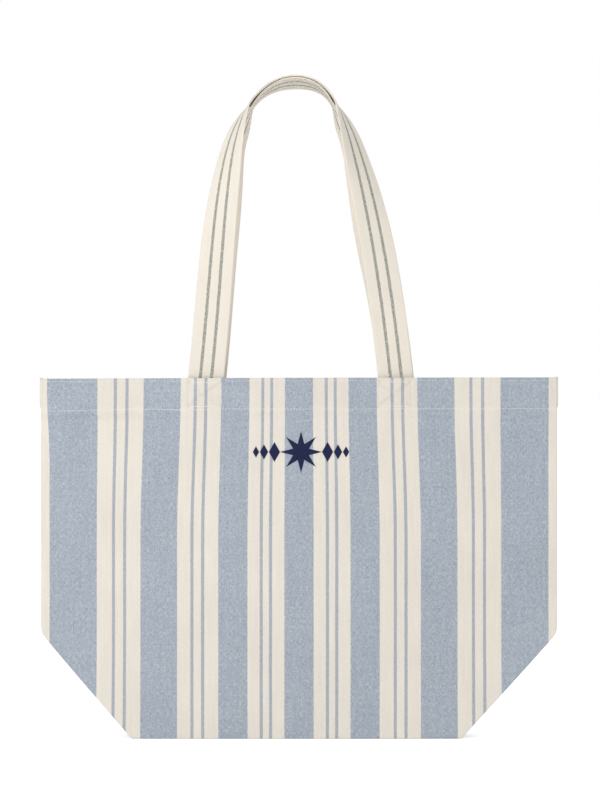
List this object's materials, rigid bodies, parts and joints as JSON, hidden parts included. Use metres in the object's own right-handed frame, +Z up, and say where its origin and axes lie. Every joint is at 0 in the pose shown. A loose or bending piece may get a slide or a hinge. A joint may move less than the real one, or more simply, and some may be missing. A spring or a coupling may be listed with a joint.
{
  "type": "canvas tote bag",
  "caption": "Wide striped canvas tote with a tucked boxed base, a turned hem, two long twisted shoulder handles and a small embroidered motif.",
  "frame": {"origin": "on the floor under the middle of the bag, midway between the two walls' bottom folds", "axes": "+Z up towards the handles, -Y out of the embroidered front, X along the mouth"},
  "size_m": [0.522, 0.0671, 0.6657],
  "materials": {
    "striped_canvas": "matte woven canvas, cream with heathered blue stripes",
    "strap_canvas": "matte woven canvas, cream with two thin grey-green stripes",
    "sewing_thread": "matte cotton thread, cream",
    "embroidery_thread": "satin stitched thread, navy",
    "backing_fleece": "matte non-woven, off-white"
  },
  "bodies": {
    "bag": {"base_seam": "striped_canvas", "embroidery": "embroidery_thread", "embroidery_backing": "backing_fleece", "front_base_half": "striped_canvas", "front_hem": "striped_canvas", "front_hem_stitching": "sewing_thread", "front_left_box_stitching": "sewing_thread", "front_left_corner": "striped_canvas", "front_left_strap_end": "strap_canvas", "front_mouth_stitching": "sewing_thread", "front_right_box_stitching": "sewing_thread", "front_right_corner": "striped_canvas", "front_right_strap_end": "strap_canvas", "front_wall": "striped_canvas", "left_corner_seam": "striped_canvas", "left_side_seam": "striped_canvas", "rear_base_half": "striped_canvas", "rear_hem": "striped_canvas", "rear_hem_stitching": "sewing_thread", "rear_left_box_stitching": "sewing_thread", "rear_left_corner": "striped_canvas", "rear_left_strap_end": "strap_canvas", "rear_mouth_stitching": "sewing_thread", "rear_right_box_stitching": "sewing_thread", "rear_right_corner": "striped_canvas", "rear_right_strap_end": "strap_canvas", "rear_wall": "striped_canvas", "right_corner_seam": "striped_canvas", "right_side_seam": "striped_canvas"},
    "front_handle": {"front_handle_edge_stitching": "sewing_thread", "front_handle_inner_layer": "strap_canvas", "front_handle_outer_layer": "strap_canvas"},
    "rear_handle": {"rear_handle_edge_stitching": "sewing_thread", "rear_handle_inner_layer": "strap_canvas", "rear_handle_outer_layer": "strap_canvas"}
  },
  "joints": [
    {"name": "front_handle_swing", "type": "hinge", "parent": "bag", "child": "front_handle", "pos_m": [0, -0.028, 0.362], "axis": [1, 0, 0], "range_deg": [0, 170]},
    {"name": "rear_handle_swing", "type": "hinge", "parent": "bag", "child": "rear_handle", "pos_m": [0, 0.028, 0.362], "axis": [-1, 0, 0], "range_deg": [0, 170]}
  ]
}
